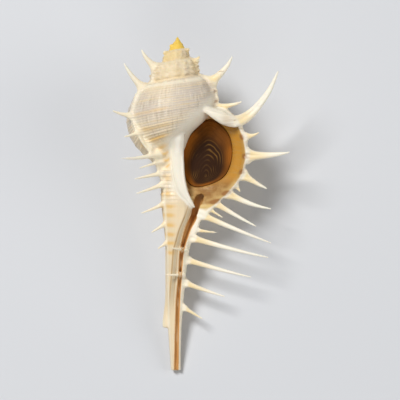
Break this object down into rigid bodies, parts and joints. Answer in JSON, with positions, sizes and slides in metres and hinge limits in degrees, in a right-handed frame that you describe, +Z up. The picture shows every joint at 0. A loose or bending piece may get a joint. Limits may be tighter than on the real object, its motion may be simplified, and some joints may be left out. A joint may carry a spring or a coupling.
{
  "type": "murex shell",
  "caption": "Spiny sea snail shell with a long open siphonal canal, rows of curved spines along its varices and a brown horny lid closing the aperture.",
  "frame": {"origin": "centre of the bounding box's underside, on the surface the shell lies on", "axes": "+X along the shell towards its apex, +Z up, the aperture facing up and towards -Y"},
  "size_m": [0.0974, 0.0526, 0.0331],
  "materials": {
    "shell": "satin",
    "operculum": "satin"
  },
  "bodies": {
    "root": {"shell": "shell", "operculum": "operculum"}
  },
  "joints": []
}
